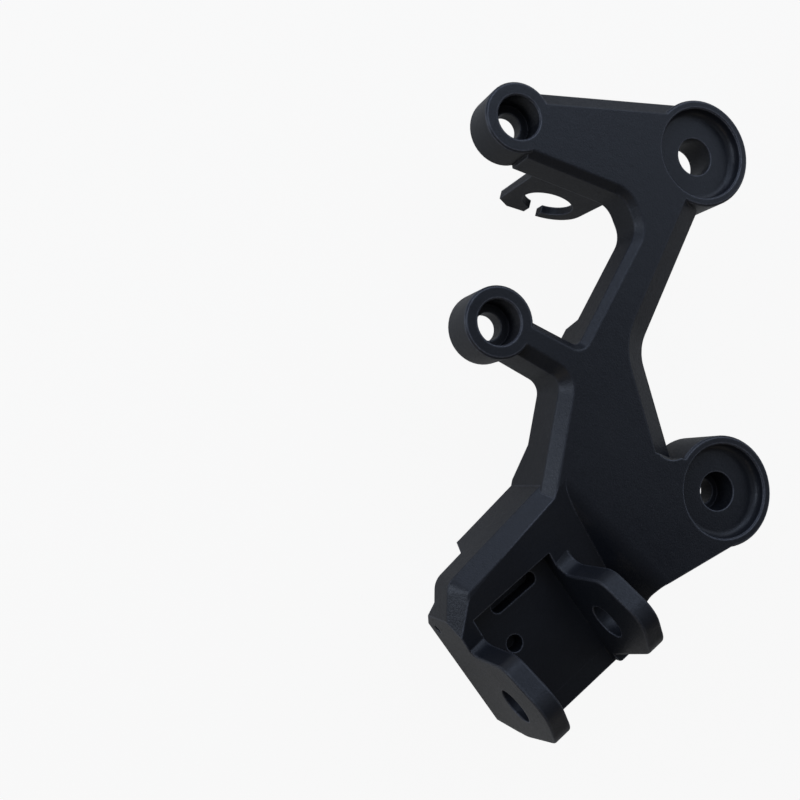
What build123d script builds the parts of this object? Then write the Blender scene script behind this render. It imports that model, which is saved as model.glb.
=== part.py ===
# Motorcycle footrest hanger: one aluminium casting with four frame mounting
# bosses, a two-eared clevis for the folding footrest and a hose hook.
# Frame: +Z is the outward normal of the mounting face, +X runs from the upper
# small boss to the upper large boss, and the origin is on the bore axis of the
# upper small boss, where its screw head seats. The casting is modelled with its
# mounting face at zero height and raised into this frame at the end. Millimetres.
import os
from math import cos, radians, sin

from build123d import *

os.makedirs("parts", exist_ok=True)

# Boss centres in the mounting face
UPPER_SMALL = (0.0, 0.0)
UPPER_LARGE = (64.6, 0.0)
MIDDLE_SMALL = (-3.4, -63.1)
LOWER_LARGE = (75.8, -107.9)

# Small bosses: outer size, screw head pocket and through bore
SMALL_BOSS_RADIUS = 11.0
HEAD_POCKET_RADIUS = 6.9
HEAD_POCKET_DEPTH = 8.5
SCREW_BORE_RADIUS = 4.3
UPPER_SMALL_LENGTH = 13.0
MIDDLE_SMALL_LENGTH = 14.0

# Large bosses: outer size, dished recess and bush bore
LARGE_BOSS_RADIUS = 17.5
DISH_RADIUS = 14.75
DISH_DEPTH = 4.0
DISH_CORNER = 2.0
BUSH_BORE_RADIUS = 6.2
UPPER_LARGE_LENGTH = 15.0
LOWER_LARGE_LENGTH = 18.0
BLIND_BUSH_DEPTH = 12.0
THREAD_CORE_RADIUS = 4.2

# Rounds on the cast edges, and narrow chamfers on the round rims
EDGE_ROUND = 0.8
EAR_ROUND = 0.6
BOSS_CHAMFER = 0.6
RIM_CHAMFER = 0.4

# Casting thicknesses, measured back from the mounting face
ARM_DEPTH = 12.5
BODY_DEPTH = 18.0
HEEL_DEPTH = 25.0
CLEVIS_DEPTH = 26.5
ARM_BACK_END = -56.6
BODY_BACK = (-59.0, -97.0)
HEEL_BACK = (-108.0, -128.0)
CLEVIS_BACK_START = -132.0

# Front bevels: width across the face, depth down the wall
TOP_BEVEL = (4.3, 2.8)
RIGHT_BEVEL = (8.4, 6.0)
BAY_BEVEL = 2.2
ARM_BEVEL = 3.4
CORNER_CREST = (56.2, -92.35)
CORNER_CREST_RADIUS = 7.2
CORNER_FOOT = (60.6, -97.3)
CORNER_FOOT_RADIUS = 1.2
HEEL_BEVEL = 4.7

# Clevis: the pin axis lies in the plate plane, turned from +X
PIN_ANGLE = 40.0
END_FACE = -106.9
END_REACH = 106.5
EAR_THICKNESS = 5.9
CLEVIS_WIDTH = 42.5
PIN_RADIUS = 5.5
PIN_REACH = 134.2
PIN_HEIGHT = 5.0
FLOOR_HEIGHT = -9.0
FLOOR_START = 110.0
LIP_END = 152.0
LIP_CORNER = 1.5
FOOT_RISE = 3.0
BLOCK_END = 148.5
SHOULDER_WIDTH = 51.0
SHOULDER_RUN = 6.7
SHOULDER_RISE = 8.2
CREST_START = (50.8, 95.7)
CREST_END = (1.2, END_REACH - 1.2)
SHELF_SLOPE = 13.0
RAMP_SLOPE = 50.0
RAMP_DRIFT = 0.5
RIDGE_SPOT = (57.0, 125.0)
EAR_BASE = -14.0
RIDGE_ROUND = 7.0
EAR_PROFILE = [
    (109.0, EAR_BASE, 0),
    (109.0, -3.6, 0),
    (118.2, -3.6, 4.5),
    (118.2, 17.5, 6),
    (131.5, 26.0, 8),
    (143.5, 19.0, 8),
    (149.0, -6.0, 20),
    (148.5, EAR_BASE, 0),
]

# Floor pockets of the clevis: a long one by the upper wall and a round one
SLOT_LENGTH = 17.0
SLOT_WIDTH = 4.2
SLOT_CENTRE = (22.6, 114.3)
ROUND_POCKET_RADIUS = 2.6
ROUND_POCKET_CENTRE = (14.0, 126.4)
POCKET_DEPTH = 6.0

# Relief behind the end corner, and the spring hole drilled into the end face
RELIEF_HEIGHT = -15.0
RELIEF_REACH = (103.0, 110.5)
RELIEF_WIDTH = 18.0
SPRING_HOLE_CENTRE = (111.8, -20.5)
SPRING_HOLE_RADIUS = 1.4
SPRING_HOLE_DEPTH = 6.0

# Hose hook behind the upper arm
HOOK_THICKNESS = 2.8
HOOK_RING_RADIUS = 12.6
HOOK_BORE_RADIUS = 8.5
HOOK_GAP = 4.5
HOOK_GAP_SHIFT = 0.5
HOOK_CENTRE = (26.9, -28.4)
HOOK_LEFT = 13.4
HOOK_ROOT = -6.5
HOOK_KNEE = -38.0
HOOK_SHIN = (4.4, -3.6)
HOOK_SOLE = 12.0
HOOK_FLARE = 0.6
HOOK_STEP = 0.4

pin_axis = Vector(cos(radians(PIN_ANGLE)), sin(radians(PIN_ANGLE)), 0)
reach_axis = Vector(sin(radians(PIN_ANGLE)), -cos(radians(PIN_ANGLE)), 0)
up = Vector(0, 0, 1)


def clevis_point(along, reach, height=0.0):
    """The point a distance along the pin axis from the end face, and out along the reach."""
    return pin_axis * (END_FACE + along) + reach_axis * reach + up * height


def clevis_plane(along):
    """The plane across the pin axis: its X is the reach and its Y is the height."""
    return Plane(origin=pin_axis * (END_FACE + along), x_dir=reach_axis, z_dir=-pin_axis)


def floor_spot(along, reach):
    """A point of the clevis floor in the floor plane's own coordinates."""
    return (along - EAR_THICKNESS, FLOOR_START - reach)


def closed_outline(corners):
    """Draw a closed outline in the open sketch, each corner rounded by its own radius."""
    with BuildSketch(mode=Mode.PRIVATE) as outline:
        with BuildLine():
            Polyline(*[(x, y) for x, y, _ in corners], close=True)
        make_face()
        for x, y, radius in corners:
            if radius > 0:
                fillet(outline.vertices().sort_by_distance((x, y, 0))[0], radius)
    return outline.sketch


def side_middle(corner):
    """The middle of the plate's side that starts at the given corner of the outline."""
    start, end = corner, PLATE[PLATE.index(corner) + 1]
    return Vector((start[0] + end[0]) / 2, (start[1] + end[1]) / 2, 0)


def front_edge(solid, corner):
    """The front edge of the plate's side that starts at the given corner of the outline."""
    face_edges = [e for e in solid.edges() if abs(e.center().Z) < 0.001]
    return min(face_edges, key=lambda e: e.distance_to(side_middle(corner)))


def bevel_edges(solid):
    """The level edges of the front bevels, but for those that a boss will swallow."""
    level = [e for e in solid.edges() if e.bounding_box().size.Z < 0.01]
    front = [e for e in level if e.center().Z > -RIGHT_BEVEL[1] - 0.1 and e.center().dot(reach_axis) < CREST_END[1]]
    return [e for e in front if all((e.center() - Vector(*spot)).length > radius for spot, radius, _ in BOSSES)]


def circles_at(solid, radius, height):
    """The round edges of one radius at one height."""
    rounds = solid.edges().filter_by(GeomType.CIRCLE)
    return rounds.filter_by(lambda e: abs(e.radius - radius) < 0.001 and abs(e.center().Z - height) < 0.001)


def mounting_face(solid):
    """The largest flat face in the mounting plane."""
    flat = [f for f in solid.faces() if abs(f.center().Z) < 0.001 and abs(f.normal_at().Z) > 0.999]
    return max(flat, key=lambda f: f.area)


end_corner = clevis_point(0, END_REACH)
foot_corner = clevis_point(0, BLOCK_END)
heel_corner = clevis_point(SHOULDER_WIDTH, BLOCK_END)
shoulder_corner = clevis_point(SHOULDER_WIDTH + SHOULDER_RUN, BLOCK_END - SHOULDER_RISE)

TOP_SIDE = (0, 9.0, 0)
RIGHT_SIDE = (71.1, -9.0, 0)
HEEL_SIDE = (-13.9, -139.5, 6)
ARM_SIDE = (18.9, -77.8, 5)
BAY_WALL_START = (4.0, -11.3)
BAY_WALL_END = (38.0, -18.2)
BAY_SIDE = (*BAY_WALL_END, 8)
PLATE = [
    TOP_SIDE,
    (64.6, 16.4, 0),
    RIGHT_SIDE,
    (47.3, -65.2, 14),
    (59.8, -98.7, 0),
    (75.8, -100.5, 0),
    (83.5, -122.4, 0),
    (shoulder_corner.X, shoulder_corner.Y, 6),
    (heel_corner.X, heel_corner.Y, 0),
    (foot_corner.X, foot_corner.Y, 0),
    (end_corner.X, end_corner.Y, 0),
    HEEL_SIDE,
    (14.1, -109.9, 0),
    ARM_SIDE,
    (2.0, -70.6, 0),
    (3.0, -57.5, 0),
    (8.2, -61.6, 3),
    (23.6, -67.2, 2.5),
    (42.9, -28.5, 8),
    BAY_SIDE,
    (*BAY_WALL_START, 0),
]


BOSSES = [
    (UPPER_SMALL, SMALL_BOSS_RADIUS, UPPER_SMALL_LENGTH),
    (MIDDLE_SMALL, SMALL_BOSS_RADIUS, MIDDLE_SMALL_LENGTH),
    (UPPER_LARGE, LARGE_BOSS_RADIUS, UPPER_LARGE_LENGTH),
    (LOWER_LARGE, LARGE_BOSS_RADIUS, LOWER_LARGE_LENGTH),
]


# The four bosses that stand on the frame
with BuildPart() as bosses:
    for centre, radius, length in BOSSES:
        with BuildSketch(Plane.XY):
            with Locations(centre):
                Circle(radius)
        extrude(amount=-length)
    chamfer(bosses.edges().filter_by(GeomType.CIRCLE), BOSS_CHAMFER)

# The two ears of the clevis
with BuildPart() as ears:
    for along in (EAR_THICKNESS, CLEVIS_WIDTH):
        with BuildSketch(clevis_plane(along)):
            add(closed_outline(EAR_PROFILE))
        extrude(amount=EAR_THICKNESS)
    outer_and_inner = ears.faces().filter_by(lambda f: abs(f.normal_at().dot(pin_axis)) > 0.999)
    fillet(outer_and_inner.edges(), EAR_ROUND)

# The hose hook: an open ring that carries on the lower wall of the upper arm
with BuildPart() as hook:
    wall_run = Vector(BAY_WALL_END[0] - BAY_WALL_START[0], BAY_WALL_END[1] - BAY_WALL_START[1], 0).normalized()
    wall_out = wall_run.cross(up)
    hook_origin = Vector(*BAY_WALL_START, 0) - wall_out * HOOK_STEP
    hook_origin = hook_origin - wall_run * hook_origin.dot(wall_run)
    with BuildSketch(Plane(origin=hook_origin, x_dir=wall_run, z_dir=wall_out)):
        with Locations(HOOK_CENTRE):
            Circle(HOOK_RING_RADIUS)
        with BuildLine():
            Polyline(
                (HOOK_LEFT, HOOK_ROOT), (HOOK_LEFT, HOOK_KNEE), (HOOK_LEFT + HOOK_SHIN[0], HOOK_KNEE + HOOK_SHIN[1]),
                (HOOK_CENTRE[0], HOOK_CENTRE[1] - HOOK_SOLE), (HOOK_CENTRE[0] + HOOK_RING_RADIUS, HOOK_CENTRE[1]),
                (HOOK_CENTRE[0] + HOOK_RING_RADIUS + HOOK_FLARE, HOOK_ROOT), close=True,
            )
        make_face()
        with Locations(HOOK_CENTRE):
            Circle(HOOK_BORE_RADIUS, mode=Mode.SUBTRACT)
        with Locations((HOOK_CENTRE[0] - HOOK_GAP_SHIFT, HOOK_CENTRE[1] - HOOK_SOLE)):
            Rectangle(HOOK_GAP, HOOK_SOLE, mode=Mode.SUBTRACT)
    extrude(amount=-HOOK_THICKNESS)

# The casting itself
with BuildPart() as hanger:
    # The plate at full depth, with its front bevels
    with BuildSketch(Plane.XY):
        add(closed_outline(PLATE))
    extrude(amount=-CLEVIS_DEPTH)
    chamfer(front_edge(hanger.part, TOP_SIDE), *TOP_BEVEL, reference=mounting_face(hanger.part))
    chamfer(front_edge(hanger.part, RIGHT_SIDE), *RIGHT_BEVEL, reference=mounting_face(hanger.part))
    chamfer(front_edge(hanger.part, BAY_SIDE), BAY_BEVEL)
    chamfer(front_edge(hanger.part, ARM_SIDE), ARM_BEVEL)
    chamfer(front_edge(hanger.part, HEEL_SIDE), HEEL_BEVEL)

    # The right bevel turns the corner at the lower large boss and fades out there
    with BuildSketch(Plane.XY):
        with Locations(CORNER_CREST):
            Circle(CORNER_CREST_RADIUS)
    with BuildSketch(Plane.XY.offset(-RIGHT_BEVEL[1])):
        with Locations(CORNER_FOOT):
            Circle(CORNER_FOOT_RADIUS)
    loft(ruled=True, mode=Mode.SUBTRACT)

    # The back: thin at the arm and neck, deeper over the body, heel and clevis
    with BuildSketch(Plane.YZ):
        with BuildLine():
            Polyline(
                (SMALL_BOSS_RADIUS * 2, -ARM_DEPTH), (ARM_BACK_END, -ARM_DEPTH), (BODY_BACK[0], -BODY_DEPTH),
                (BODY_BACK[1], -BODY_DEPTH), (HEEL_BACK[0], -HEEL_DEPTH), (HEEL_BACK[1], -HEEL_DEPTH),
                (CLEVIS_BACK_START, -CLEVIS_DEPTH), (CLEVIS_BACK_START, -CLEVIS_DEPTH - ARM_DEPTH),
                (SMALL_BOSS_RADIUS * 2, -CLEVIS_DEPTH - ARM_DEPTH), close=True,
            )
        make_face()
    extrude(amount=BLOCK_END, both=True, mode=Mode.SUBTRACT)

    # The shelf in front of the clevis falls away from the crest of the heel bevel
    crest_start = clevis_point(*CREST_START)
    crest_line = (clevis_point(*CREST_END) - crest_start).normalized()
    shelf_fall = up.cross(crest_line) * cos(radians(SHELF_SLOPE)) - up * sin(radians(SHELF_SLOPE))
    shelf = Plane(origin=crest_start, x_dir=crest_line, z_dir=crest_line.cross(shelf_fall))
    ramp_rise = pin_axis * cos(radians(RAMP_SLOPE)) + up * sin(radians(RAMP_SLOPE))
    ramp_run = shelf.to_local_coords(clevis_point(CREST_START[0] + RAMP_DRIFT, BLOCK_END + EAR_THICKNESS))
    shelf_end = CREST_START[0] * 2
    with BuildSketch(shelf):
        with BuildLine():
            Polyline((0, 0), (ramp_run.X, ramp_run.Y), (shelf_end, ramp_run.Y), (shelf_end, 0), close=True)
        make_face()
    extrude(amount=CLEVIS_DEPTH, dir=ramp_rise, mode=Mode.SUBTRACT)
    fillet(hanger.edges().sort_by_distance(clevis_point(*RIDGE_SPOT))[0], RIDGE_ROUND)
    fillet(bevel_edges(hanger.part), EDGE_ROUND)

    # The pocketed floor between the ears
    floor_corner = clevis_point(EAR_THICKNESS, FLOOR_START, FLOOR_HEIGHT)
    floor = Plane(origin=floor_corner, x_dir=pin_axis, z_dir=up)
    floor_width = CLEVIS_WIDTH - 2 * EAR_THICKNESS
    floor_length = 2 * (BLOCK_END - FLOOR_START)
    with BuildSketch(floor):
        with Locations((floor_width / 2, -floor_length / 2)):
            Rectangle(floor_width, floor_length)
    extrude(amount=-2 * FLOOR_HEIGHT, mode=Mode.SUBTRACT)
    with BuildSketch(floor):
        with Locations(floor_spot(*SLOT_CENTRE)):
            SlotOverall(SLOT_LENGTH, SLOT_WIDTH)
        with Locations(floor_spot(*ROUND_POCKET_CENTRE)):
            Circle(ROUND_POCKET_RADIUS)
    extrude(amount=-POCKET_DEPTH, mode=Mode.SUBTRACT)

    # The floor runs on past the ears as a lip, with a raised foot at the inner ear
    for start, rise in ((EAR_THICKNESS, 0), (CLEVIS_WIDTH - EAR_THICKNESS, FOOT_RISE)):
        with BuildSketch(floor.offset(rise)) as lip:
            with Locations(floor_spot(start, LIP_END)):
                Rectangle(CLEVIS_WIDTH - start, EAR_THICKNESS, align=Align.MIN)
            fillet(lip.vertices().group_by(Axis.Y)[0], LIP_CORNER)
        extrude(amount=-(CLEVIS_DEPTH + FLOOR_HEIGHT + rise))

    # The rear of the end corner, and the spring hole in the end face
    with BuildSketch(clevis_plane(-EAR_THICKNESS)):
        with BuildLine():
            Polyline(
                (RELIEF_REACH[0] - RELIEF_WIDTH, RELIEF_HEIGHT), (RELIEF_REACH[0], RELIEF_HEIGHT),
                (RELIEF_REACH[1], -CLEVIS_DEPTH), (RELIEF_REACH[1], RELIEF_HEIGHT - CLEVIS_DEPTH),
                (RELIEF_REACH[0] - RELIEF_WIDTH, RELIEF_HEIGHT - CLEVIS_DEPTH), close=True,
            )
        make_face()
    extrude(amount=-(RELIEF_WIDTH + EAR_THICKNESS), mode=Mode.SUBTRACT)
    with BuildSketch(clevis_plane(0)):
        with Locations(SPRING_HOLE_CENTRE):
            Circle(SPRING_HOLE_RADIUS)
    extrude(amount=-SPRING_HOLE_DEPTH, mode=Mode.SUBTRACT)

    # The bosses, ears and hook join the plate
    add(bosses.part)
    add(ears.part)
    add(hook.part)

    # Everything that is bored into the bosses
    with Locations(Plane.XY):
        with Locations(UPPER_SMALL, MIDDLE_SMALL):
            CounterBoreHole(SCREW_BORE_RADIUS, HEAD_POCKET_RADIUS, HEAD_POCKET_DEPTH, depth=CLEVIS_DEPTH)
        with Locations(UPPER_LARGE):
            CounterBoreHole(BUSH_BORE_RADIUS, DISH_RADIUS, DISH_DEPTH, depth=CLEVIS_DEPTH)
        with Locations(LOWER_LARGE):
            CounterBoreHole(BUSH_BORE_RADIUS, DISH_RADIUS, DISH_DEPTH, depth=BLIND_BUSH_DEPTH)
            Hole(THREAD_CORE_RADIUS, depth=CLEVIS_DEPTH)

    # Soft corners where the dishes meet their floors, and broken rims at the front
    fillet(circles_at(hanger.part, DISH_RADIUS, -DISH_DEPTH), DISH_CORNER)
    chamfer(circles_at(hanger.part, DISH_RADIUS, 0), RIM_CHAMFER)
    chamfer(circles_at(hanger.part, HEAD_POCKET_RADIUS, 0), RIM_CHAMFER)

    # The pin bore through both ears
    with BuildSketch(clevis_plane(-EAR_THICKNESS)):
        with Locations((PIN_REACH, PIN_HEIGHT)):
            Circle(PIN_RADIUS)
    extrude(amount=-(CLEVIS_WIDTH + 2 * EAR_THICKNESS), mode=Mode.SUBTRACT)

hanger.part.label = "hanger"
hanger.part.locate(Location((0, 0, HEAD_POCKET_DEPTH)))
export_step(hanger.part, "parts/hanger.step")
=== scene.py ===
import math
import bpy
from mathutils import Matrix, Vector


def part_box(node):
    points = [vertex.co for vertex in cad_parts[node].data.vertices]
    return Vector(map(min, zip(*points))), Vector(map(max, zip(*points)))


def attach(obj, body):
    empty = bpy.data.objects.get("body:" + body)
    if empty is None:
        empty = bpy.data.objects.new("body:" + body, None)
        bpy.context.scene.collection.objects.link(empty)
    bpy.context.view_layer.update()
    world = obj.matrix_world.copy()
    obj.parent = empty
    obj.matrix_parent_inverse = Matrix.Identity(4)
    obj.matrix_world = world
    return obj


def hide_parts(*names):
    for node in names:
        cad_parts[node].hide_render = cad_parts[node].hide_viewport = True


bl_info = {
    "name": "Footrest Hanger Studio",
    "version": (1, 0, 0),
    "blender": (4, 5, 0),
    "location": "View3D > Sidebar > Footrest Hanger",
    "description": "Finishes a cast motorcycle footrest hanger and sets it in a plain studio",
    "category": "Object",
}

import bmesh
import bpy
import numpy as np
from bpy.props import FloatProperty, FloatVectorProperty, PointerProperty
from mathutils import Matrix, Vector

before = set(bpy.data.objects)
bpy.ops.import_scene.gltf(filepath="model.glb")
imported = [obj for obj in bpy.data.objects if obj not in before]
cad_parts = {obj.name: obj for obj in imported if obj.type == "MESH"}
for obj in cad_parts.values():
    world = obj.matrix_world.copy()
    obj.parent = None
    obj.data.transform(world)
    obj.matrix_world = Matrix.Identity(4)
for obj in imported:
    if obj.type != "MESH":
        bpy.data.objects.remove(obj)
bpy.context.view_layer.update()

HANGER_LOW, HANGER_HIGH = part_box("hanger")
HANGER_MIDDLE = (HANGER_LOW + HANGER_HIGH) / 2


class CastingFinish(bpy.types.PropertyGroup):
    """Colours and texture sizes of the coated casting."""

    coat_color: FloatVectorProperty(
        name="Coat Colour",
        description="Main colour of the satin coating",
        subtype="COLOR",
        size=3,
        min=0.0,
        max=1.0,
        default=(0.0088, 0.0103, 0.0150),
    )
    bloom_color: FloatVectorProperty(
        name="Bloom Colour",
        description="Slightly lighter colour where the coating lies thin",
        subtype="COLOR",
        size=3,
        min=0.0,
        max=1.0,
        default=(0.0125, 0.0143, 0.0190),
    )
    roughness: FloatProperty(
        name="Roughness",
        description="Average roughness of the coating",
        subtype="FACTOR",
        min=0.0,
        max=1.0,
        default=0.39,
    )
    gloss: FloatProperty(
        name="Gloss",
        description="Strength of the reflection on the coating",
        subtype="FACTOR",
        min=0.0,
        max=1.0,
        default=0.45,
    )
    grain_size: FloatProperty(
        name="Grain Size",
        description="Distance between the grains of the cast skin",
        subtype="DISTANCE",
        unit="LENGTH",
        min=0.0001,
        max=0.005,
        default=0.00055,
    )
    grain_depth: FloatProperty(
        name="Grain Depth",
        description="Height of the grains of the cast skin",
        subtype="DISTANCE",
        unit="LENGTH",
        min=0.0,
        max=0.0005,
        default=0.00006,
    )
    # Painted highlight: the lighter colour laid along outer edges in place of their shine
    edge_highlight_color: FloatVectorProperty(
        name="Edge Colour",
        description="Colour of the thin rubbed line along outer edges",
        subtype="COLOR",
        size=3,
        min=0.0,
        max=1.0,
        default=(0.170, 0.180, 0.215),
    )
    # Painted highlight: how strongly outer edges take the painted highlight colour
    edge_highlight_strength: FloatProperty(
        name="Edge Wear",
        description="How far outer edges are rubbed to the edge colour",
        subtype="FACTOR",
        min=0.0,
        max=1.0,
        default=0.8,
    )
    edge_softness: FloatProperty(
        name="Edge Softness",
        description="Width over which the coating runs round a sharp edge",
        subtype="DISTANCE",
        unit="LENGTH",
        min=0.0,
        max=0.002,
        default=0.0007,
    )


class StudioSettings(bpy.types.PropertyGroup):
    """Floor, lamps and surroundings."""

    floor_color: FloatVectorProperty(
        name="Floor Colour",
        description="Colour of the plain floor",
        subtype="COLOR",
        size=3,
        min=0.0,
        max=1.0,
        default=(0.66, 0.63, 0.57),
    )
    floor_width: FloatProperty(
        name="Floor Width",
        description="Width of the square floor",
        subtype="DISTANCE",
        unit="LENGTH",
        min=1.0,
        max=50.0,
        default=12.0,
    )
    shadow_share: FloatProperty(
        name="Shadow Share",
        description="How much of the floor's own shading the camera sees",
        subtype="FACTOR",
        min=0.0,
        max=1.0,
        default=0.08,
    )
    reflected_share: FloatProperty(
        name="Reflected Share",
        description="How bright the floor and the white surroundings are in reflections",
        subtype="FACTOR",
        min=0.0,
        max=1.0,
        default=0.05,
    )
    lamp_power: FloatProperty(
        name="Lamp Power",
        description="Power that the strengths of all the lamps are multiplied by",
        subtype="POWER",
        min=0.0,
        max=100.0,
        default=1.0,
    )
    ambient: FloatProperty(
        name="Ambient",
        description="Strength of the even light from all around",
        min=0.0,
        max=2.0,
        default=0.12,
    )


# Noise seldom leaves this range, so it is spread from here to the range that is wanted
NOISE_RANGE = (0.3, 0.7)


class NodeLayout:
    """A material's or world's node tree, emptied, with short calls to add and join nodes."""

    def __init__(self, owner):
        owner.use_nodes = True
        self.tree = owner.node_tree
        self.tree.nodes.clear()

    def add(self, kind, **values):
        """Add a node and set its properties, and its inputs where it has no such property."""
        node = self.tree.nodes.new(kind)
        for name, value in values.items():
            if hasattr(node, name):
                setattr(node, name, value)
            else:
                node.inputs[name.replace("_", " ")].default_value = value
        return node

    def join(self, source, target):
        """Join one node's output to another's input."""
        self.tree.links.new(source, target)

    def noise(self, coordinates, per_metre, detail, rough):
        """Noise of so many cells to a metre on the piece's own coordinates."""
        node = self.add("ShaderNodeTexNoise")
        node.inputs["Scale"].default_value = per_metre
        node.inputs["Detail"].default_value = detail
        node.inputs["Roughness"].default_value = rough
        self.join(coordinates, node.inputs["Vector"])
        return node.outputs["Fac"]

    def spread(self, source, low, high, source_range=NOISE_RANGE):
        """Map a value evenly from its own range to the range from low to high."""
        node = self.add("ShaderNodeMapRange")
        node.inputs["From Min"].default_value = source_range[0]
        node.inputs["From Max"].default_value = source_range[1]
        node.inputs["To Min"].default_value = low
        node.inputs["To Max"].default_value = high
        self.join(source, node.inputs["Value"])
        return node.outputs["Result"]

    def blend_colors(self, share, first, second):
        """Mix two colours, each a plain colour or another node's output."""
        node = self.add("ShaderNodeMix", data_type="RGBA")
        self.join(share, node.inputs[0])
        for socket, color in ((node.inputs[6], first), (node.inputs[7], second)):
            if isinstance(color, bpy.types.NodeSocket):
                self.join(color, socket)
            else:
                socket.default_value = (*color, 1.0)
        return node.outputs[2]

    def combine(self, operation, first, second):
        """Combine two values with a sum, product or the like."""
        node = self.add("ShaderNodeMath", operation=operation)
        for socket, value in zip(node.inputs, (first, second)):
            if isinstance(value, bpy.types.NodeSocket):
                self.join(value, socket)
            else:
                socket.default_value = value
        return node.outputs[0]


# Rays for each look at an edge, and how near a facing wall makes a hollow, in metres
EDGE_SAMPLES = 6
HOLLOW_REACH = 0.0020

# Where the painted edge highlight is full and where it starts, as the cosine between the softened
# and the real surface, where it starts and is full by the open share of the air, and the least the
# grain leaves
TURN_RANGE = (0.955, 0.998)
OPEN_RANGE = (0.88, 0.98)
LEAST_HIGHLIGHT = 0.4


def painted_edge_highlight(nodes, rounded, grain, finish):
    """Painted edge highlight: a lighter colour laid on outer edges in place of the shine they
    catch.
    It is 0 on flat skin and in hollows, rising where the softened surface turns away from the real
    one. It is the turn times the openness, times a share that the grain varies, times the highlight
    strength that the finish asks for."""
    true_normal = nodes.add("ShaderNodeNewGeometry").outputs["True Normal"]
    turn = nodes.add("ShaderNodeVectorMath", operation="DOT_PRODUCT")
    nodes.join(rounded.outputs["Normal"], turn.inputs[0])
    nodes.join(true_normal, turn.inputs[1])
    edge = nodes.spread(turn.outputs["Value"], 1.0, 0.0, TURN_RANGE)
    opening = nodes.add("ShaderNodeAmbientOcclusion", samples=EDGE_SAMPLES, only_local=True)
    opening.inputs["Distance"].default_value = HOLLOW_REACH
    outer = nodes.spread(opening.outputs["AO"], 0.0, 1.0, OPEN_RANGE)
    highlight_share = nodes.combine("MULTIPLY", edge, outer)
    highlight_share = nodes.combine("MULTIPLY", highlight_share, nodes.spread(grain, LEAST_HIGHLIGHT, 1.0))
    return nodes.combine("MULTIPLY", highlight_share, finish.edge_highlight_strength)


# The coating's noises: cells to a metre, detail, and roughness of the detail
CLOUD_NOISE = (28.0, 3.0, 0.55)
MOTTLE_NOISE = (260.0, 4.0, 0.60)
GRAIN_DETAIL = (2.0, 0.65)

# How far the mottle goes to the bloom colour, its height beside the grain's, and what clouds and
# grain add to the roughness or take from it
MOTTLE_SHARE = 0.35
MOTTLE_HEIGHT = 1.5
CLOUD_ROUGHNESS = 0.04
GRAIN_ROUGHNESS = 0.06


def coated_casting(finish, name, edge_softness):
    """Satin dark coating on cast aluminium: cloudy colour, fine grain, uneven gloss and softened
    edges. Clouds and mottle mix the colour, clouds and grain are added to the roughness, and
    mottle and grain together are the height."""
    material = bpy.data.materials.new(name)
    nodes = NodeLayout(material)
    place = nodes.add("ShaderNodeTexCoord").outputs["Object"]
    clouds = nodes.noise(place, *CLOUD_NOISE)
    mottle = nodes.noise(place, *MOTTLE_NOISE)
    grain = nodes.noise(place, 1.0 / finish.grain_size, *GRAIN_DETAIL)
    cloudy = nodes.spread(clouds, 0.0, 1.0)
    color = nodes.blend_colors(cloudy, finish.coat_color, finish.bloom_color)
    color = nodes.blend_colors(nodes.spread(mottle, 0.0, MOTTLE_SHARE), color, finish.bloom_color)
    broad = nodes.spread(clouds, -CLOUD_ROUGHNESS, CLOUD_ROUGHNESS)
    fine = nodes.spread(grain, -GRAIN_ROUGHNESS, GRAIN_ROUGHNESS)
    rough = nodes.combine("ADD", nodes.combine("ADD", broad, fine), finish.roughness)
    height = nodes.combine("ADD", grain, nodes.combine("MULTIPLY", mottle, MOTTLE_HEIGHT))
    rounded = nodes.add("ShaderNodeBevel", samples=EDGE_SAMPLES)
    rounded.inputs["Radius"].default_value = edge_softness
    # Painted highlight: outer edges are mixed towards a lighter colour that stands in for their
    # shine
    color = nodes.blend_colors(painted_edge_highlight(nodes, rounded, grain, finish), color, finish.edge_highlight_color)
    bump = nodes.add("ShaderNodeBump")
    nodes.join(rounded.outputs["Normal"], bump.inputs["Normal"])
    bump.inputs["Strength"].default_value = 1.0
    bump.inputs["Distance"].default_value = finish.grain_depth
    nodes.join(height, bump.inputs["Height"])
    shader = nodes.add("ShaderNodeBsdfPrincipled")
    shader.inputs["Specular IOR Level"].default_value = finish.gloss
    nodes.join(color, shader.inputs["Base Color"])
    nodes.join(rough, shader.inputs["Roughness"])
    nodes.join(bump.outputs["Normal"], shader.inputs["Normal"])
    output = nodes.add("ShaderNodeOutputMaterial")
    nodes.join(shader.outputs["BSDF"], output.inputs["Surface"])
    return material


class HANGER_OT_finish_casting(bpy.types.Operator):
    """Give the casting its satin coating"""

    bl_idname = "hanger.finish_casting"
    bl_label = "Finish Casting"

    def execute(self, context):
        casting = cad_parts["hanger"]
        finish = context.scene.casting_finish
        material = coated_casting(finish, "coated_casting", finish.edge_softness)
        casting.data.materials.clear()
        casting.data.materials.append(material)
        return {"FINISHED"}


class RearRelief(bpy.types.PropertyGroup):
    """The stepped relief behind the heel, in lengths along the pin and down from it."""

    wall: FloatProperty(
        name="Wall",
        description="Where the relief's end wall stands, from the outer side of the first ear",
        subtype="DISTANCE",
        unit="LENGTH",
        default=0.018,
    )
    roof: FloatProperty(
        name="Roof",
        description="Height of the relief's flat roof",
        subtype="DISTANCE",
        unit="LENGTH",
        default=-0.0065,
    )
    lean: FloatProperty(
        name="Lean",
        description="How far the end wall leans out along the pin for each length of its depth",
        min=0.0,
        max=0.38,
        default=0.36,
    )


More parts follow.
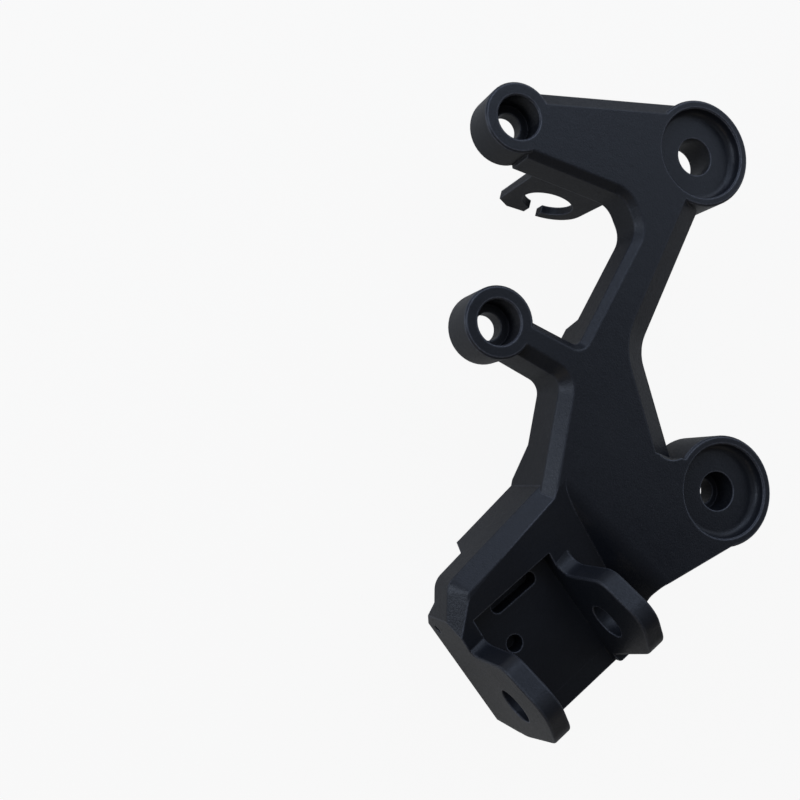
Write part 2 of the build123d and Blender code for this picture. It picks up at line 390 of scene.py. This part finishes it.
# The clevis's own directions, as rows: along the pin, down the clevis from the upper mounting
# bores, and up. The first ear's outer side stands at END_FACE along the pin, in metres.
PIN_ANGLE = math.radians(40)
END_FACE = -0.1069
CLEVIS_AXES = np.array([
    [math.cos(PIN_ANGLE), math.sin(PIN_ANGLE), 0.0],
    [math.sin(PIN_ANGLE), -math.cos(PIN_ANGLE), 0.0],
    [0.0, 0.0, 1.0],
])

# In metres: corners this close coincide, this close to a plane are on it, and down the clevis the
# end wall lies between these two reaches
MERGE_DISTANCE = 1e-6
WALL_GRIP = 0.00005
RELIEF_REACH = (0.094, 0.112)

# The end wall's lower corners are of three kinds, told apart by their reach: on the outer wall, on
# the edge of the back, and on the run-out. Each slides and rises by its own share of the move.
CORNER_LIMITS = (0.0972, 0.1000)
CORNER_SLIDE = np.array([-0.116, math.tan(PIN_ANGLE), 0.0])
CORNER_RISE = np.array([0.274, 0.0, 0.0])


def lean_wall(points, relief):
    """Lean the relief's end wall. A corner below the roof moves along the pin by lean times its
    depth under the roof, and slides and rises with that move by the shares of its own kind, so
    it stays on the faces it joins. Gives the new points and which of them moved."""
    along, reach, height = (points @ CLEVIS_AXES.T - (END_FACE, 0.0, 0.0)).T
    on_wall = (np.abs(along - relief.wall) < WALL_GRIP) & (height < relief.roof - WALL_GRIP)
    moved = on_wall & (reach > RELIEF_REACH[0]) & (reach < RELIEF_REACH[1])
    kind = np.digitize(reach, CORNER_LIMITS)
    slide, rise = CORNER_SLIDE[kind], CORNER_RISE[kind]
    run = relief.lean * (relief.roof - height) / (1.0 + relief.lean * rise)
    run = np.where(moved, run, 0.0)
    return points + np.stack([run, slide * run, rise * run], axis=1) @ CLEVIS_AXES, moved


def merge_corners(mesh):
    """Merge the corners that coincide."""
    parts = bmesh.new()
    parts.from_mesh(mesh)
    bmesh.ops.remove_doubles(parts, verts=parts.verts, dist=MERGE_DISTANCE)
    parts.to_mesh(mesh)
    parts.free()


def read_values(items, name, width):
    """One value of every item, as rows of the given width."""
    values = np.empty(len(items) * width, np.float32)
    items.foreach_get(name, values)
    return values.reshape(-1, width)


class HANGER_OT_lean_relief_wall(bpy.types.Operator):
    """Let the rear relief's end wall lean, so that the heel runs out without a standing corner"""

    bl_idname = "hanger.lean_relief_wall"
    bl_label = "Lean Relief Wall"

    def execute(self, context):
        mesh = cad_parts["hanger"].data.copy()
        mesh.name = "hanger_casting"
        normals = read_values(mesh.corner_normals, "vector", 3).reshape(-1, 3, 3)
        merge_corners(mesh)
        if len(mesh.loops) != normals.size // 3:
            raise RuntimeError("merging the casting's corners changed its faces")
        relief = context.scene.rear_relief
        points, moved = lean_wall(read_values(mesh.vertices, "co", 3), relief)
        mesh.vertices.foreach_set("co", points.astype(np.float32).ravel())
        mesh.update()
        corners = np.empty(len(mesh.loops), np.int32)
        mesh.loops.foreach_get("vertex_index", corners)
        touched = moved[corners].reshape(-1, 3).any(axis=1)
        normals[touched] = read_values(mesh.polygons, "normal", 3)[touched][:, None, :]
        mesh.normals_split_custom_set(normals.reshape(-1, 3).tolist())
        piece = bpy.data.objects.new("hanger_casting", mesh)
        context.scene.collection.objects.link(piece)
        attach(piece, "root")
        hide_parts("hanger")
        return {"FINISHED"}


class ClevisFloor(bpy.types.PropertyGroup):
    """The clevis floor's outer end between the ears, in lengths along the pin and down from it."""

    ear_faces: FloatVectorProperty(
        name="Ear Faces",
        description="Distances of the two ears' inner faces from the outer side of the first ear",
        subtype="XYZ",
        unit="LENGTH",
        size=2,
        default=(0.0059, 0.0366),
    )
    near_reach: FloatVectorProperty(
        name="Near Reach",
        description="Where the floor's end starts beside each ear, from the upper mounting bores",
        subtype="XYZ",
        unit="LENGTH",
        size=2,
        default=(0.1434, 0.1370),
    )
    lip_reach: FloatProperty(
        name="Lip Reach",
        description="Where the lip starts, from the upper mounting bores",
        subtype="DISTANCE",
        unit="LENGTH",
        default=0.1461,
    )
    level: FloatProperty(
        name="Level",
        description="Height of the floor's surface",
        subtype="DISTANCE",
        unit="LENGTH",
        default=-0.00049,
    )
    depth: FloatProperty(
        name="Depth",
        description="Thickness of the floor's end at the lip",
        subtype="DISTANCE",
        unit="LENGTH",
        default=0.0024,
    )


# How far the floor's end runs into the ears and lip, in metres, and its sections from ear to ear
OVERLAP = 0.0003
FLOOR_SECTIONS = 13


def clevis_points(along, reach, height):
    """Points by their distance along the pin from the first ear, their distance down the clevis,
    and their height."""
    return np.stack([END_FACE + along, reach, height], axis=-1) @ CLEVIS_AXES


def floor_wedge(floor):
    """A wedge: a three-cornered profile, flat on top and deepest at the lip, carried in a straight
    line from ear to ear while its thin edge runs evenly from the first near reach to the second."""
    share = np.linspace(0.0, 1.0, FLOOR_SECTIONS)
    first, second = floor.ear_faces[0] - OVERLAP, floor.ear_faces[1] + OVERLAP
    along = np.repeat((first + (second - first) * share)[:, None], 3, axis=1)
    near = floor.near_reach[0] + (floor.near_reach[1] - floor.near_reach[0]) * share
    far = np.full(FLOOR_SECTIONS, floor.lip_reach + OVERLAP)
    reach = np.stack([near, far, far], axis=1)
    height = np.broadcast_to([floor.level, floor.level, floor.level - floor.depth], reach.shape)
    corner = np.arange(3 * FLOOR_SECTIONS).reshape(FLOOR_SECTIONS, 3)
    onward = np.roll(corner, -1, axis=1)
    sides = np.stack([corner[:-1], onward[:-1], onward[1:], corner[1:]], axis=-1).reshape(-1, 4)
    ends = [corner[0, ::-1].tolist(), corner[-1].tolist()]
    points = clevis_points(along, reach, height).reshape(-1, 3)
    mesh = bpy.data.meshes.new("clevis_floor_end")
    mesh.from_pydata(points.tolist(), [], sides.tolist() + ends)
    mesh.update()
    return mesh


class HANGER_OT_fill_clevis_floor(bpy.types.Operator):
    """Carry the clevis floor level up to its lip"""

    bl_idname = "hanger.fill_clevis_floor"
    bl_label = "Fill Clevis Floor"

    def execute(self, context):
        # Its edges lie against the casting, so they are neither softened nor given the painted edge
        # highlight
        material = coated_casting(context.scene.casting_finish, "coated_floor_end", 0.0)
        mesh = floor_wedge(context.scene.clevis_floor)
        mesh.materials.append(material)
        piece = bpy.data.objects.new("clevis_floor_end", mesh)
        context.scene.collection.objects.link(piece)
        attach(piece, "root")
        return {"FINISHED"}


def sees_surroundings(nodes, reflected_share):
    """1 for what the eye sees, the reflected share in reflections and clear materials, and 0 for
    falling light."""
    path = nodes.add("ShaderNodeLightPath")
    glossy, passed = path.outputs["Is Glossy Ray"], path.outputs["Is Transmission Ray"]
    passed = nodes.combine("MAXIMUM", glossy, passed)
    passed = nodes.combine("MULTIPLY", passed, reflected_share)
    return nodes.combine("MAXIMUM", path.outputs["Is Camera Ray"], passed)


def falling_light(nodes, ambient):
    """The even light on things, which reflections don't add to."""
    path = nodes.add("ShaderNodeLightPath")
    return nodes.combine("MULTIPLY", path.outputs["Is Diffuse Ray"], ambient)


# The floor: its gap under the hanger in metres, squares to a side, roughness, speckle noise (cells
# to a metre, detail, and roughness of the detail), and how bright the darkest speckles are
FLOOR_GAP = 0.0005
FLOOR_SQUARES = 24
FLOOR_ROUGHNESS = 0.9
SPECKLE_NOISE = (90.0, 3.0, 0.5)
SPECKLE_TINT = 0.97


def floor_grid(width, height):
    """A flat square grid: x and y run evenly over the width, and z is the same all over."""
    across = np.linspace(-width / 2, width / 2, FLOOR_SQUARES + 1)
    x, y = np.meshgrid(across + HANGER_MIDDLE.x, across + HANGER_MIDDLE.y, indexing="ij")
    points = np.stack([x.ravel(), y.ravel(), np.full(x.size, height)], axis=1)
    corner = np.arange(x.size).reshape(x.shape)
    faces = np.stack([corner[:-1, :-1], corner[1:, :-1], corner[1:, 1:], corner[:-1, 1:]], axis=-1)
    mesh = bpy.data.meshes.new("studio_floor")
    mesh.from_pydata(points.tolist(), [], faces.reshape(-1, 4).tolist())
    mesh.update()
    floor = bpy.data.objects.new("studio_floor", mesh)
    bpy.context.scene.collection.objects.link(floor)
    return floor


def floor_paint(studio):
    """Pale matt floor that the eye sees as white under a share of its own shading, which keeps
    the hanger's shadow."""
    material = bpy.data.materials.new("studio_floor_paint")
    nodes = NodeLayout(material)
    place = nodes.add("ShaderNodeTexCoord").outputs["Object"]
    matt = nodes.add("ShaderNodeBsdfPrincipled", Roughness=FLOOR_ROUGHNESS)
    speckle = nodes.spread(nodes.noise(place, *SPECKLE_NOISE), 0.0, 1.0)
    pale = tuple(studio.floor_color)
    tint = tuple(SPECKLE_TINT * c for c in studio.floor_color)
    nodes.join(nodes.blend_colors(speckle, pale, tint), matt.inputs["Base Color"])
    glow = nodes.add("ShaderNodeEmission", Strength=1.0)
    seen = sees_surroundings(nodes, studio.reflected_share)
    share = nodes.combine("MULTIPLY", seen, 1.0 - studio.shadow_share)
    mix = nodes.add("ShaderNodeMixShader")
    nodes.join(share, mix.inputs[0])
    nodes.join(matt.outputs["BSDF"], mix.inputs[1])
    nodes.join(glow.outputs["Emission"], mix.inputs[2])
    output = nodes.add("ShaderNodeOutputMaterial")
    nodes.join(mix.outputs["Shader"], output.inputs["Surface"])
    return material


def light_world(studio):
    """White surroundings for the eye, dimmed in reflections, and a dim even light on everything."""
    world = bpy.data.worlds.new("studio_surroundings")
    bpy.context.scene.world = world
    nodes = NodeLayout(world)
    seen = sees_surroundings(nodes, studio.reflected_share)
    strength = nodes.combine("MAXIMUM", seen, falling_light(nodes, studio.ambient))
    backdrop = nodes.add("ShaderNodeBackground")
    backdrop.inputs["Color"].default_value = (1.0, 1.0, 1.0, 1.0)
    nodes.join(strength, backdrop.inputs["Strength"])
    output = nodes.add("ShaderNodeOutputWorld")
    nodes.join(backdrop.outputs["Background"], output.inputs["Surface"])


# How far off the lamps stand and how wide they are, in metres
LAMP_DISTANCE = 0.85
LAMP_WIDTH = 0.40

# Each lamp's name, direction from the middle of the hanger, power in watts and colour
LAMPS = (
    ("back_right_lamp", (0.40, 0.50, 0.62), 0.36, (0.68, 0.79, 1.00)),
    ("back_lamp", (0.35, 0.88, 0.30), 0.42, (0.78, 0.86, 1.00)),
    ("back_left_lamp", (-0.48, 0.82, 0.33), 0.82, (0.66, 0.77, 1.00)),
    ("left_lamp", (-0.90, 0.05, 0.30), 1.50, (0.72, 0.82, 1.00)),
    ("left_high_lamp", (-0.60, 0.30, 0.74), 0.60, (0.66, 0.77, 1.00)),
    ("top_back_lamp", (0.00, 0.70, 0.70), 1.00, (0.64, 0.76, 1.00)),
    ("top_lamp", (0.00, 0.00, 1.00), 0.20, (0.80, 0.88, 1.00)),
    ("far_right_lamp", (0.75, 0.20, 0.55), 0.34, (0.74, 0.83, 1.00)),
    ("low_right_lamp", (0.50, -0.75, 0.35), 0.14, (1.00, 0.92, 0.80)),
    ("low_left_lamp", (-0.55, -0.75, 0.32), 0.28, (1.00, 0.85, 0.65)),
)


def soft_lamp(name, direction, power, color):
    """A square lamp that stands off in one direction and faces the middle of the hanger."""
    data = bpy.data.lights.new(name, "AREA")
    data.shape = "SQUARE"
    data.size = LAMP_WIDTH
    data.energy = power
    data.color = color
    lamp = bpy.data.objects.new(name, data)
    lamp.location = HANGER_MIDDLE + LAMP_DISTANCE * Vector(direction)
    lamp.rotation_euler = (HANGER_MIDDLE - lamp.location).to_track_quat("-Z", "Y").to_euler()
    bpy.context.scene.collection.objects.link(lamp)


class HANGER_OT_build_stage(bpy.types.Operator):
    """Lay the floor and set the lamps and surroundings"""

    bl_idname = "hanger.build_stage"
    bl_label = "Build Stage"

    def execute(self, context):
        studio = context.scene.studio_settings
        floor = floor_grid(studio.floor_width, HANGER_LOW.z - FLOOR_GAP)
        floor.data.materials.append(floor_paint(studio))
        light_world(studio)
        for name, direction, power, color in LAMPS:
            soft_lamp(name, direction, power * studio.lamp_power, color)
        return {"FINISHED"}


# Solved from the circles of the bosses: where the camera stands, in metres, and which way it faces
CAMERA_PLACE = (-0.113534, -0.117049, 0.258045)
CAMERA_RIGHT = (0.947859, 0.056667, 0.313612)
CAMERA_DOWN = (0.087305, -0.992590, -0.084519)
CAMERA_AHEAD = (0.306499, 0.107492, -0.945782)
FOCAL_PIXELS = 942.207
PHOTO_WIDTH = 800.0
SENSOR_WIDTH = 36.0
NEAREST_SEEN = 0.005


class HANGER_OT_place_camera(bpy.types.Operator):
    """Set the camera at the photograph's viewing angle"""

    bl_idname = "hanger.place_camera"
    bl_label = "Place Camera"

    def execute(self, context):
        data = bpy.data.cameras.new("photo_camera")
        data.sensor_fit = "HORIZONTAL"
        data.sensor_width = SENSOR_WIDTH
        data.lens = FOCAL_PIXELS / PHOTO_WIDTH * SENSOR_WIDTH
        data.clip_start = NEAREST_SEEN
        camera = bpy.data.objects.new("photo_camera", data)
        columns = np.array([CAMERA_RIGHT, np.negative(CAMERA_DOWN), np.negative(CAMERA_AHEAD)]).T
        turn = Matrix(columns.tolist()).to_4x4()
        camera.matrix_world = Matrix.Translation(CAMERA_PLACE) @ turn
        context.scene.collection.objects.link(camera)
        context.scene.camera = camera
        return {"FINISHED"}


class HANGER_PT_studio(bpy.types.Panel):
    """Sizes, colours and steps of the footrest hanger's studio"""

    bl_idname = "HANGER_PT_studio"
    bl_label = "Footrest Hanger"
    bl_space_type = "VIEW_3D"
    bl_region_type = "UI"
    bl_category = "Footrest Hanger"

    def draw(self, context):
        layout = self.layout
        for heading, settings in (
            ("Casting", context.scene.casting_finish),
            ("Rear Relief", context.scene.rear_relief),
            ("Clevis Floor", context.scene.clevis_floor),
            ("Studio", context.scene.studio_settings),
        ):
            box = layout.box()
            box.label(text=heading)
            for name in settings.__annotations__:
                box.prop(settings, name)
        for step in STEPS:
            layout.operator(step.bl_idname)


STEPS = (
    HANGER_OT_finish_casting,
    HANGER_OT_lean_relief_wall,
    HANGER_OT_fill_clevis_floor,
    HANGER_OT_build_stage,
    HANGER_OT_place_camera,
)
CLASSES = (CastingFinish, RearRelief, ClevisFloor, StudioSettings, *STEPS, HANGER_PT_studio)


def register():
    """Register the classes and hang their settings on the scene."""
    for cls in CLASSES:
        bpy.utils.register_class(cls)
    bpy.types.Scene.casting_finish = PointerProperty(type=CastingFinish)
    bpy.types.Scene.rear_relief = PointerProperty(type=RearRelief)
    bpy.types.Scene.clevis_floor = PointerProperty(type=ClevisFloor)
    bpy.types.Scene.studio_settings = PointerProperty(type=StudioSettings)


def unregister():
    """Take the settings and the classes away again."""
    del bpy.types.Scene.studio_settings
    del bpy.types.Scene.clevis_floor
    del bpy.types.Scene.rear_relief
    del bpy.types.Scene.casting_finish
    for cls in reversed(CLASSES):
        bpy.utils.unregister_class(cls)


def main():
    """Register the add-on and run its steps in order."""
    register()
    bpy.context.scene.view_settings.view_transform = "Standard"
    bpy.ops.hanger.finish_casting()
    bpy.ops.hanger.lean_relief_wall()
    bpy.ops.hanger.fill_clevis_floor()
    bpy.ops.hanger.build_stage()
    bpy.ops.hanger.place_camera()


if __name__ == "__main__":
    main()
